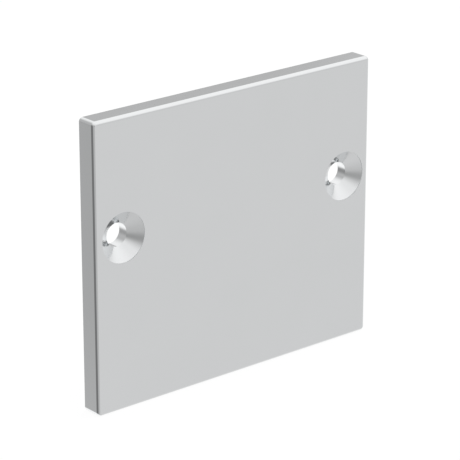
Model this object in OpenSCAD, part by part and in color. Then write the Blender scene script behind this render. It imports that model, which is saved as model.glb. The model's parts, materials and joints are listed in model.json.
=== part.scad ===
// Channel end cap: one flat aluminium plate that closes the end of a channel. Two countersunk
// screw holes sit side by side, a little above the middle of the height.
// X runs across the plate, Y from the front face to the back face, and Z up. The front face
// is towards -Y and the back face, which lies against the channel's end, is at +Y.
// The origin is the middle of the bottom of the plate.

/* [Plate] */
// Width of the plate
plate_w = 80; // [60:0.5:200]
// Height of the plate
plate_h = 68.2; // [56:0.1:160]
// Thickness of the plate
plate_t = 5.15; // [5:0.05:12]
// Radius of the four corners, seen from the front
corner_r = 0.95; // [0.95:0.05:3]
// Radius of the rounded edge all round the front face
edge_r = 0.95; // [0.2:0.05:0.95]

/* [Screw holes] */
// Distance of each hole's centre from the nearer side of the plate
hole_side = 7.6; // [7:0.1:20]
// Height of the hole centres above the bottom of the plate
hole_z = 40.6; // [10:0.1:46]
// Diameter of the straight bore
bore_d = 5.5; // [4:0.1:6.5]
// Diameter of the countersink at the front face
sink_d = 11.7; // [8:0.1:12]
// Full angle of the countersink's cone
sink_angle = 104; // [82:1:120]
// Depth of the short straight wall between the front face and the cone
sink_wall = 0.15; // [0.05:0.05:0.3]

/* [Hidden] */
// Segments of every round form
$fn = 96;
// How far a cutting tool runs past the face that it cuts
cut_over = 1;
front_y = -plate_t / 2;
back_y = plate_t / 2;
hole_x = plate_w / 2 - hole_side;
cone_depth = (sink_d - bore_d) / 2 / tan(sink_angle / 2);
// Where the cone's wide end lies
cone_y = front_y + sink_wall;

// Section of the plate, length along x, from the back face at y = 0 to the front face at
// y = plate_t, with both of its front corners rounded.
module plate_section(length) {
    translate([-length / 2, 0]) square([length, plate_t - edge_r]);
    translate([-length / 2 + edge_r, 0]) square([length - 2 * edge_r, plate_t]);
    for (side = [-1, 1])
        translate([side * (length / 2 - edge_r), plate_t - edge_r]) circle(r = edge_r);
}

// A bar as long as span along its own z, whose section is plate_section(length).
module plate_bar(length, span) {
    translate([0, 0, -span / 2]) linear_extrude(height = span) plate_section(length);
}

// A round post as thick as the plate, of the corner's radius, with its front rim rounded by a
// quarter circle.
module corner_post() {
    rotate_extrude() {
        square([corner_r, plate_t - edge_r]);
        if (corner_r > edge_r) square([corner_r - edge_r, plate_t]);
        translate([corner_r - edge_r, plate_t - edge_r]) intersection() {
            circle(r = edge_r);
            square(edge_r);
        }
    }
}

// The plate, centred on its own middle: an upright bar and a lying bar that cross, with a
// post in each corner between them.
module rounded_plate() {
    translate([0, back_y, 0]) mirror([0, 1, 0]) {
        plate_bar(plate_w, plate_h - 2 * corner_r);
        rotate([0, 90, 0]) plate_bar(plate_h, plate_w - 2 * corner_r);
    }
    for (x = [-1, 1], z = [-1, 1])
        translate([x * (plate_w / 2 - corner_r), back_y, z * (plate_h / 2 - corner_r)])
            rotate([90, 0, 0]) corner_post();
}

// What one screw hole takes away: a straight bore through the plate, a cone that narrows to
// the bore, and the short straight wall from the front face to the cone's wide end.
module screw_hole() {
    translate([0, back_y + cut_over, 0])
        rotate([90, 0, 0]) cylinder(h = plate_t + 2 * cut_over, d = bore_d);
    translate([0, cone_y + cone_depth, 0])
        rotate([90, 0, 0]) cylinder(h = cone_depth, d1 = bore_d, d2 = sink_d);
    translate([0, cone_y, 0])
        rotate([90, 0, 0]) cylinder(h = sink_wall + cut_over, d = sink_d);
}

module end_cap() {
    color("lightgray") difference() {
        translate([0, 0, plate_h / 2]) rounded_plate();
        for (side = [-1, 1]) translate([side * hole_x, 0, hole_z]) screw_hole();
    }
}

end_cap();
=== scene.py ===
import json
import math

import bpy
import numpy as np
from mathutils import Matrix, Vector


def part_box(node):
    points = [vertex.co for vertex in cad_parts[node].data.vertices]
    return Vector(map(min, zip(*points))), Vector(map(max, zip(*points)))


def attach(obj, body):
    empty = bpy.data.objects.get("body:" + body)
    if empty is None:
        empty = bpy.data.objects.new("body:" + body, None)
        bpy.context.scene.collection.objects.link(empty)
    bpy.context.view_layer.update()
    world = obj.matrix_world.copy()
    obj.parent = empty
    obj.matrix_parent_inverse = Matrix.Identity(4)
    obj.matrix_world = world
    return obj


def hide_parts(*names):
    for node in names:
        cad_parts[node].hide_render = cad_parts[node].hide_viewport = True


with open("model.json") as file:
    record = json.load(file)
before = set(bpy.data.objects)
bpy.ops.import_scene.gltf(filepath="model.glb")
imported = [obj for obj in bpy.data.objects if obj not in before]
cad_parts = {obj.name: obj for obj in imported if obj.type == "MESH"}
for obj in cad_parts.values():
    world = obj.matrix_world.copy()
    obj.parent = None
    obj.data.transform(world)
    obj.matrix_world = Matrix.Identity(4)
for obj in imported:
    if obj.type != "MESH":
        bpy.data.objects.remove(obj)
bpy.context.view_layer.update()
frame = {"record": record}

# Sizes of the plate, in metres
LOW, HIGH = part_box("end_cap")
HALF_WIDTH, HEIGHT = HIGH.x, HIGH.z
FRONT_Y, BACK_Y = LOW.y, HIGH.y
SCREW_HOLE = next(m for m in frame["record"]["mounts"] if m["name"] == "right_screw_hole")
HOLE_X, _, HOLE_Z = SCREW_HOLE["pos_m"]
BORE_R = SCREW_HOLE["dims"]["r_mm"] / 1000
# The frame doesn't give the next four, so they repeat the values of part.scad
EDGE_R = 0.00095                      # round of the front edges and of the four corners
SINK_R = 0.00585                      # rim of the countersink
SINK_WALL = 0.00015                   # the short straight wall from the front face to the cone
SINK_HALF_ANGLE = math.radians(52)
CONE_Y = FRONT_Y + SINK_WALL          # wide end of the cone
BORE_Y = CONE_Y + (SINK_R - BORE_R) / math.tan(SINK_HALF_ANGLE)     # its narrow end

# Steps of the plate's surfaces
RAYS = 256                            # stations round one hole
ARC_STEPS = 16                        # steps of a quarter circle
FACE_STEPS = 8                        # steps across the front or back face
WALL_STEPS = 2                        # steps from the back face to the rounded edge
SINK_WALL_STEPS = 1
CONE_STEPS = 4
BORE_STEPS = 2
MERGE = 1e-8                          # points this close are one point, in metres

# Finish of the aluminium, in metres where a length
CLOUD, CLOUD_DETAIL = 0.014, 3.0      # soft patches where the polish differs
GRAIN, GRAIN_DETAIL = 0.00016, 2.0    # grain of the satin
NOISE_LOW, NOISE_HIGH = 0.3, 0.7      # noise that counts as the least and the most
LOW_TONE = (0.828, 0.839, 0.846, 1)   # colour where a patch's noise is least
HIGH_TONE = (0.838, 0.849, 0.856, 1)  # colour where it is most
LOW_POLISH, HIGH_POLISH = 0.070, 0.090    # roughness in the same two places
SPECKLE = 0.008                       # what the grain takes from the roughness or adds to it
WORN_ROUGHNESS = 0.060                # rounded edges, smoothed by handling
RIM_ROUGHNESS = 0.45                  # short walls at the countersinks' rims
GRAIN_RELIEF = 0.0000008
RING_PITCH = 0.00009                  # feed of the countersinking cutter
RING_RELIEF = 0.0000004
RIM_BAND = 0.000004                   # how close a point on the rim's wall is to its radius

# Floor of white paper
FLOOR_SIZE = 6
PAPER = 0.8                           # its grey where it is lit
GLOW = 1.04                           # its own white
GLOW_SHARE = 0.9                      # how much of what the camera sees there is that white

# Light
ROOM = 0.52                           # the room as the metal mirrors it
ROOM_LIGHT = 0.75                     # the room's light on what isn't a mirror
LAMP_PLACE = (0.25, -0.1, 1.1)
LAMP_WIDTH = 0.8
LAMP_POWER = 4.0
# A panel has the azimuth and elevation of its middle in degrees (azimuth 0 is +X and 90 is
# +Y), the half-angle inside which it is full, the half-angle where it ends, and its
# brightness. Each one lies over those before it, and the room shows between them.
PANELS = [
    (300, -20, 45, 65, 0.71),    # pale floor in front
    (230, 0, 0, 25, 0.34),       # darker wall on the camera's side
    (280, 75, 40, 75, 0.90),     # ceiling
    (20, 55, 30, 75, 1.04),      # large softbox, high on the right
    (305, 5, 10, 20, 0.68),      # wall in front
    (52, 12, 5, 12, 0.51),       # far wall
    (165, -15, 20, 45, 0.19),    # black flag on the left
    (100, -60, 20, 44, 1.10),    # bright floor behind
    (15, -35, 5, 35, 1.07),      # bright floor on the right
]

# Camera
AZIMUTH, ELEVATION = math.radians(40.048), math.radians(19.986)
DISTANCE = 0.56438                    # from the point it looks at, in metres
AIM_X, AIM_UP = -0.0022336, 0.0012296     # that point, from the middle of the front face
LENS, SENSOR = 196.11, 36             # focal length and sensor width, in millimetres
CLIP_START = 0.01


# The plate
def half_outline():
    """Stations round the right half of the plate, in order of their angle round its hole.

    A station is (x, z, nx, nz, on_wall): a point of the outline as seen from the front, the
    outline's outward normal there, and 1 on the plate's own wall or 0 on the middle line
    x = 0, which the left half shares. On a straight side the point is where a ray from the
    hole's centre meets that side. On a corner it is the corner's centre plus EDGE_R times the
    normal, for normals that turn through a quarter circle.
    """
    angle = (np.arange(RAYS) + 0.5) * 2 * np.pi / RAYS - np.pi
    dx, dz = np.cos(angle), np.sin(angle)
    to_side = (np.where(dx > 0, HALF_WIDTH, 0) - HOLE_X) / dx
    to_end = (np.where(dz > 0, HEIGHT, 0) - HOLE_Z) / dz
    reach = np.minimum(to_side, to_end)
    x, z = HOLE_X + dx * reach, HOLE_Z + dz * reach
    on_end = to_end < to_side
    on_side = ~on_end & (dx > 0)
    rays = np.stack([x, z, on_side, on_end * np.sign(dz), on_end | on_side], 1)
    in_corner = (x > HALF_WIDTH - EDGE_R) & (abs(z - HEIGHT / 2) >= HEIGHT / 2 - EDGE_R)
    stations = [rays[~in_corner]]
    turn = np.linspace(0, np.pi / 2, ARC_STEPS + 1)
    for side in (-1, 1):
        nx, nz = np.cos(turn), side * np.sin(turn)
        middle_z = HEIGHT / 2 + side * (HEIGHT / 2 - EDGE_R)
        stations.append(np.stack([HALF_WIDTH - EDGE_R + EDGE_R * nx, middle_z + EDGE_R * nz,
                                  nx, nz, np.ones_like(turn)], 1))
        stations.append(np.array([[0, HEIGHT / 2 * (1 + side), 0, side, 1]]))
    stations = np.concatenate(stations)
    return stations[np.argsort(np.arctan2(stations[:, 1] - HOLE_Z, stations[:, 0] - HOLE_X))]


def half_plate():
    """Surfaces of the right half, as (points, normals, on_wall) grids: stations by steps.

    Each station's line runs from the bore over the back face to the outline, along the wall,
    round the front edge, over the front face to the countersink, and down its wall, its cone
    and the bore to where it began:
      wall   outline point, at depths from the back face to EDGE_R behind the front face;
      edge   inset EDGE_R (1 - cos a) and depth EDGE_R (1 - sin a), for a from 0 to 90 degrees,
             with the normal turning from the outline's to the front face's;
      cone   radius and depth both linear from its wide end to the bore;
      bore   BORE_R, or SINK_R in the short wall at the rim, at depths from end to end;
      faces  straight lines between the outline and the circle, at the same angle.
    """
    x, z, nx, nz, on_wall = half_outline().T
    count = len(x)
    angle = np.arctan2(z - HOLE_Z, x - HOLE_X)
    radial = np.stack([np.cos(angle), np.zeros(count), np.sin(angle)], 1)
    outward = np.stack([nx, np.zeros(count), nz], 1)
    outline = np.stack([x, np.zeros(count), z], 1)
    hole = np.array([HOLE_X, 0, HOLE_Z])
    depth = np.array([0.0, 1.0, 0.0])

    def line(start, end, steps):
        """Start times (1 - s) plus end times s, for s in even steps from 0 to 1."""
        share = np.linspace(0, 1, steps + 1)[None, :, None]
        return start[:, None] * (1 - share) + end[:, None] * share

    def even(normal, steps):
        """A station's normal, the same at each step of its line."""
        normal = np.broadcast_to(normal, (count, 3))
        return np.repeat(normal[:, None], steps + 1, 1)

    def ring(radius, y):
        """The hole's centre at depth y, plus the radius times each station's direction."""
        return hole + radius * radial + y * depth

    # The front face ends EDGE_R inside the outline. Stations on the middle line have no
    # normal, so their height is cut to the same limits.
    inset = outline - EDGE_R * outward
    inset[:, 2] = np.clip(inset[:, 2], EDGE_R, HEIGHT - EDGE_R)
    turn = np.linspace(0, np.pi / 2, ARC_STEPS + 1)[None, :, None]
    edge = (outline[:, None] - EDGE_R * (1 - np.cos(turn)) * outward[:, None]
            + (FRONT_Y + EDGE_R * (1 - np.sin(turn))) * depth)
    edge_normal = np.cos(turn) * outward[:, None] - np.sin(turn) * depth
    cone_normal = -math.cos(SINK_HALF_ANGLE) * radial - math.sin(SINK_HALF_ANGLE) * depth
    everywhere = np.ones(count)
    return [
        (line(ring(BORE_R, BACK_Y), outline + BACK_Y * depth, FACE_STEPS),
         even(depth, FACE_STEPS), everywhere),
        (line(outline + BACK_Y * depth, outline + (FRONT_Y + EDGE_R) * depth, WALL_STEPS),
         even(outward, WALL_STEPS), on_wall),
        (edge, edge_normal, on_wall),
        (line(inset + FRONT_Y * depth, ring(SINK_R, FRONT_Y), FACE_STEPS),
         even(-depth, FACE_STEPS), everywhere),
        (line(ring(SINK_R, FRONT_Y), ring(SINK_R, CONE_Y), SINK_WALL_STEPS),
         even(-radial, SINK_WALL_STEPS), everywhere),
        (line(ring(SINK_R, CONE_Y), ring(BORE_R, BORE_Y), CONE_STEPS),
         even(cone_normal, CONE_STEPS), everywhere),
        (line(ring(BORE_R, BORE_Y), ring(BORE_R, BACK_Y), BORE_STEPS),
         even(-radial, BORE_STEPS), everywhere),
    ]


def face_corners(grid, on_wall):
    """The four corners of each face of a grid whose last station joins its first one.

    A face between two stations is there only if both of them are on the wall.
    """
    after = np.roll(grid, -1, 0)
    corners = np.stack([grid[:, :-1], after[:, :-1], after[:, 1:], grid[:, 1:]], 2)
    return corners[(on_wall * np.roll(on_wall, -1)) > 0].reshape(-1, 4, 3)


def plate_mesh(name):
    """One closed mesh of the right half and its mirror image, with the exact normals above.

    Points that fall together become one. A face with two corners on one point, as at the
    rounded corners' poles, is a triangle.
    """
    corners, normals = [], []
    for mirror in (1, -1):
        for points, normal, on_wall in half_plate():
            corners.append((face_corners(points, on_wall) * (mirror, 1, 1))[:, ::mirror])
            normals.append((face_corners(normal, on_wall) * (mirror, 1, 1))[:, ::mirror])
    corners, normals = np.concatenate(corners), np.concatenate(normals)
    keys = np.round(corners.reshape(-1, 3) / MERGE).astype(np.int64)
    _, first, index = np.unique(keys, axis=0, return_index=True, return_inverse=True)
    index = index.reshape(-1, 4)
    repeated = index == np.roll(index, 1, 1)
    narrow = repeated.any(1)
    quads, triangles = index[~narrow], index[narrow][~repeated[narrow]].reshape(-1, 3)
    mesh = bpy.data.meshes.new(name)
    mesh.from_pydata(corners.reshape(-1, 3)[first].tolist(), [],
                     quads.tolist() + triangles.tolist())
    mesh.shade_smooth()
    mesh.normals_split_custom_set(np.concatenate(
        [normals[~narrow].reshape(-1, 3), normals[narrow][~repeated[narrow]]]).tolist())
    return mesh


# Node helpers
def node(tree, kind, inputs=(), **settings):
    """A new node. inputs are values or sockets, in the order of its own inputs; None skips."""
    made = tree.nodes.new(kind)
    for key, value in settings.items():
        setattr(made, key, value)
    for socket, value in zip(made.inputs, inputs):
        if isinstance(value, bpy.types.NodeSocket):
            tree.links.new(value, socket)
        elif value is not None:
            socket.default_value = value
    return made


def maths(tree, operation, *inputs):
    """The result of one step of arithmetic."""
    return node(tree, "ShaderNodeMath", inputs, operation=operation).outputs[0]


def blend(tree, share, low, high):
    """The number low where share is 0 and high where it is 1."""
    return node(tree, "ShaderNodeMix", [share, None, low, high]).outputs[0]


def spread(tree, noise, low, high):
    """The number low at NOISE_LOW and below, high at NOISE_HIGH and above, linear between."""
    return node(tree, "ShaderNodeMapRange", [noise, NOISE_LOW, NOISE_HIGH, low, high]).outputs[0]


def grey(level):
    """The colour that has this level in red, green and blue."""
    return (level, level, level, 1)


# Material
def aluminium():
    """Satin aluminium, bright and a little blue.

    A fine even grain covers it. The polish varies in wide soft clouds, and handling has
    smoothed the rounded edges. The countersinks' cones have the cutter's fine rings, and the
    short walls at their rims are dull.
    """
    material = bpy.data.materials.new("satin_aluminium")
    material.use_nodes = True
    tree = material.node_tree
    shader = tree.nodes["Principled BSDF"]
    place = node(tree, "ShaderNodeTexCoord").outputs["Object"]
    split = node(tree, "ShaderNodeSeparateXYZ", [place])
    across = maths(tree, "ABSOLUTE", split.outputs["X"])
    up = maths(tree, "ABSOLUTE", maths(tree, "SUBTRACT", split.outputs["Z"], HEIGHT / 2))
    behind_front = maths(tree, "SUBTRACT", split.outputs["Y"], FRONT_Y)

    # On the rounded edges, out runs from 0 at the front face to 1 at the wall, and near the
    # other way. Their product peaks half way round, at a half.
    beside = maths(tree, "SUBTRACT", across, HALF_WIDTH - EDGE_R)
    above = maths(tree, "SUBTRACT", up, HEIGHT / 2 - EDGE_R)
    out = maths(tree, "DIVIDE", maths(tree, "MAXIMUM", beside, above), EDGE_R)
    near = maths(tree, "SUBTRACT", 1.0, maths(tree, "DIVIDE", behind_front, EDGE_R))
    product = maths(tree, "MULTIPLY", maths(tree, "MAXIMUM", out, 0.0),
                    maths(tree, "MAXIMUM", near, 0.0))
    worn = maths(tree, "MINIMUM", maths(tree, "MULTIPLY", product, 2.0), 1.0)

    cloud = node(tree, "ShaderNodeTexNoise",
                 [place, None, 1 / CLOUD, CLOUD_DETAIL]).outputs["Fac"]
    grain = node(tree, "ShaderNodeTexNoise",
                 [place, None, 1 / GRAIN, GRAIN_DETAIL]).outputs["Fac"]

    from_hole = node(tree, "ShaderNodeCombineXYZ", [
        maths(tree, "SUBTRACT", across, HOLE_X), None,
        maths(tree, "SUBTRACT", split.outputs["Z"], HOLE_Z)]).outputs[0]
    radius = node(tree, "ShaderNodeVectorMath", [from_hole], operation="LENGTH").outputs["Value"]
    in_cone = maths(tree, "MULTIPLY", maths(tree, "LESS_THAN", radius, SINK_R),
                    maths(tree, "LESS_THAN", behind_front, BORE_Y - FRONT_Y))
    off_rim = maths(tree, "ABSOLUTE", maths(tree, "SUBTRACT", radius, SINK_R))
    on_rim = maths(tree, "MULTIPLY", maths(tree, "LESS_THAN", off_rim, RIM_BAND),
                   maths(tree, "GREATER_THAN", behind_front, RIM_BAND))
    wave = maths(tree, "SINE", maths(tree, "MULTIPLY", radius, 2 * math.pi / RING_PITCH))
    rings = maths(tree, "MULTIPLY", maths(tree, "MULTIPLY", wave, in_cone), RING_RELIEF)
    relief = maths(tree, "ADD", maths(tree, "MULTIPLY", grain, GRAIN_RELIEF), rings)

    tone = node(tree, "ShaderNodeValToRGB", [cloud])
    low_end, high_end = tone.color_ramp.elements
    low_end.position, high_end.position = NOISE_LOW, NOISE_HIGH
    low_end.color, high_end.color = LOW_TONE, HIGH_TONE
    polish = spread(tree, cloud, LOW_POLISH, HIGH_POLISH)
    speckled = spread(tree, grain, -SPECKLE, SPECKLE)
    roughness = blend(tree, worn, maths(tree, "ADD", polish, speckled), WORN_ROUGHNESS)
    roughness = blend(tree, on_rim, roughness, RIM_ROUGHNESS)
    bump = node(tree, "ShaderNodeBump", [1.0, 1.0, None, relief])
    shader.inputs["Metallic"].default_value = 1.0
    tree.links.new(tone.outputs[0], shader.inputs["Base Color"])
    tree.links.new(roughness, shader.inputs["Roughness"])
    tree.links.new(bump.outputs[0], shader.inputs["Normal"])
    return material


# The piece
plate = bpy.data.objects.new("end_plate", plate_mesh("end_plate"))
bpy.context.collection.objects.link(plate)
plate.data.materials.append(aluminium())
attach(plate, "root")
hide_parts("end_cap")


# The studio
def white_paper():
    """Grey paper that the lamp and the room light.

    To the camera, GLOW_SHARE of it is its own white. The rest is still the lit paper, and
    keeps the plate's shadow.
    """
    paper = bpy.data.materials.new("floor_paper")
    paper.use_nodes = True
    tree = paper.node_tree
    tree.nodes.clear()
    lit = node(tree, "ShaderNodeBsdfDiffuse", [grey(PAPER)])
    glow = node(tree, "ShaderNodeEmission", [grey(1.0), GLOW])
    seen = node(tree, "ShaderNodeLightPath").outputs["Is Camera Ray"]
    mixed = node(tree, "ShaderNodeMixShader",
                 [maths(tree, "MULTIPLY", seen, GLOW_SHARE), lit.outputs[0], glow.outputs[0]])
    node(tree, "ShaderNodeOutputMaterial", [mixed.outputs[0]])
    return paper


def mirrored_studio(tree):
    """What the metal mirrors in each direction: ROOM, with the panels laid over it in order.

    A panel's share falls smoothly from 1 to 0 while the angle from its middle grows from its
    inner to its outer half-angle. The level moves by that share towards its brightness.
    """
    direction = node(tree, "ShaderNodeTexCoord").outputs["Generated"]
    level = ROOM
    for azimuth, elevation, inner, outer, brightness in PANELS:
        a, e = math.radians(azimuth), math.radians(elevation)
        middle = (math.cos(a) * math.cos(e), math.sin(a) * math.cos(e), math.sin(e))
        cosine = node(tree, "ShaderNodeVectorMath", [direction, middle], operation="DOT_PRODUCT")
        away = maths(tree, "ARCCOSINE", cosine.outputs["Value"])
        share = node(tree, "ShaderNodeMapRange",
                     [away, math.radians(inner), math.radians(outer), 1.0, 0.0],
                     interpolation_type="SMOOTHSTEP").outputs[0]
        level = blend(tree, share, level, brightness)
    return level


def studio():
    """The world: white to the camera, the mirrored studio to the metal, ROOM_LIGHT to the rest."""
    world = bpy.data.worlds.new("studio")
    world.use_nodes = True
    tree = world.node_tree
    tree.nodes.clear()
    path = node(tree, "ShaderNodeLightPath")
    light = blend(tree, path.outputs["Is Glossy Ray"], ROOM_LIGHT, mirrored_studio(tree))
    white = maths(tree, "MAXIMUM",
                  path.outputs["Is Camera Ray"], path.outputs["Is Transmission Ray"])
    background = node(tree, "ShaderNodeBackground", [blend(tree, white, light, 1.0)])
    node(tree, "ShaderNodeOutputWorld", [background.outputs[0]])
    return world


# The metal mirrors the panels and not the floor
bpy.ops.mesh.primitive_plane_add(size=FLOOR_SIZE)
floor = bpy.context.object
floor.name = "floor"
floor.data.materials.append(white_paper())
floor.visible_glossy = False

bpy.context.scene.world = studio()

lamp = bpy.data.objects.new("overhead", bpy.data.lights.new("overhead", "AREA"))
lamp.data.shape, lamp.data.size, lamp.data.energy = "DISK", LAMP_WIDTH, LAMP_POWER
lamp.location = LAMP_PLACE
lamp.rotation_euler = Vector(LAMP_PLACE).to_track_quat("Z", "Y").to_euler()
lamp.visible_glossy = False
bpy.context.collection.objects.link(lamp)

forward = Vector((math.sin(AZIMUTH) * math.cos(ELEVATION),
                  math.cos(AZIMUTH) * math.cos(ELEVATION), -math.sin(ELEVATION)))
target = Vector((AIM_X, FRONT_Y, HEIGHT / 2 + AIM_UP))
camera = bpy.data.objects.new("camera", bpy.data.cameras.new("camera"))
camera.data.sensor_width, camera.data.lens = SENSOR, LENS
camera.data.clip_start = CLIP_START
camera.location = target - forward * DISTANCE
camera.rotation_euler = forward.to_track_quat("-Z", "Y").to_euler()
bpy.context.collection.objects.link(camera)
bpy.context.scene.camera = camera
bpy.context.scene.view_settings.view_transform = "Standard"
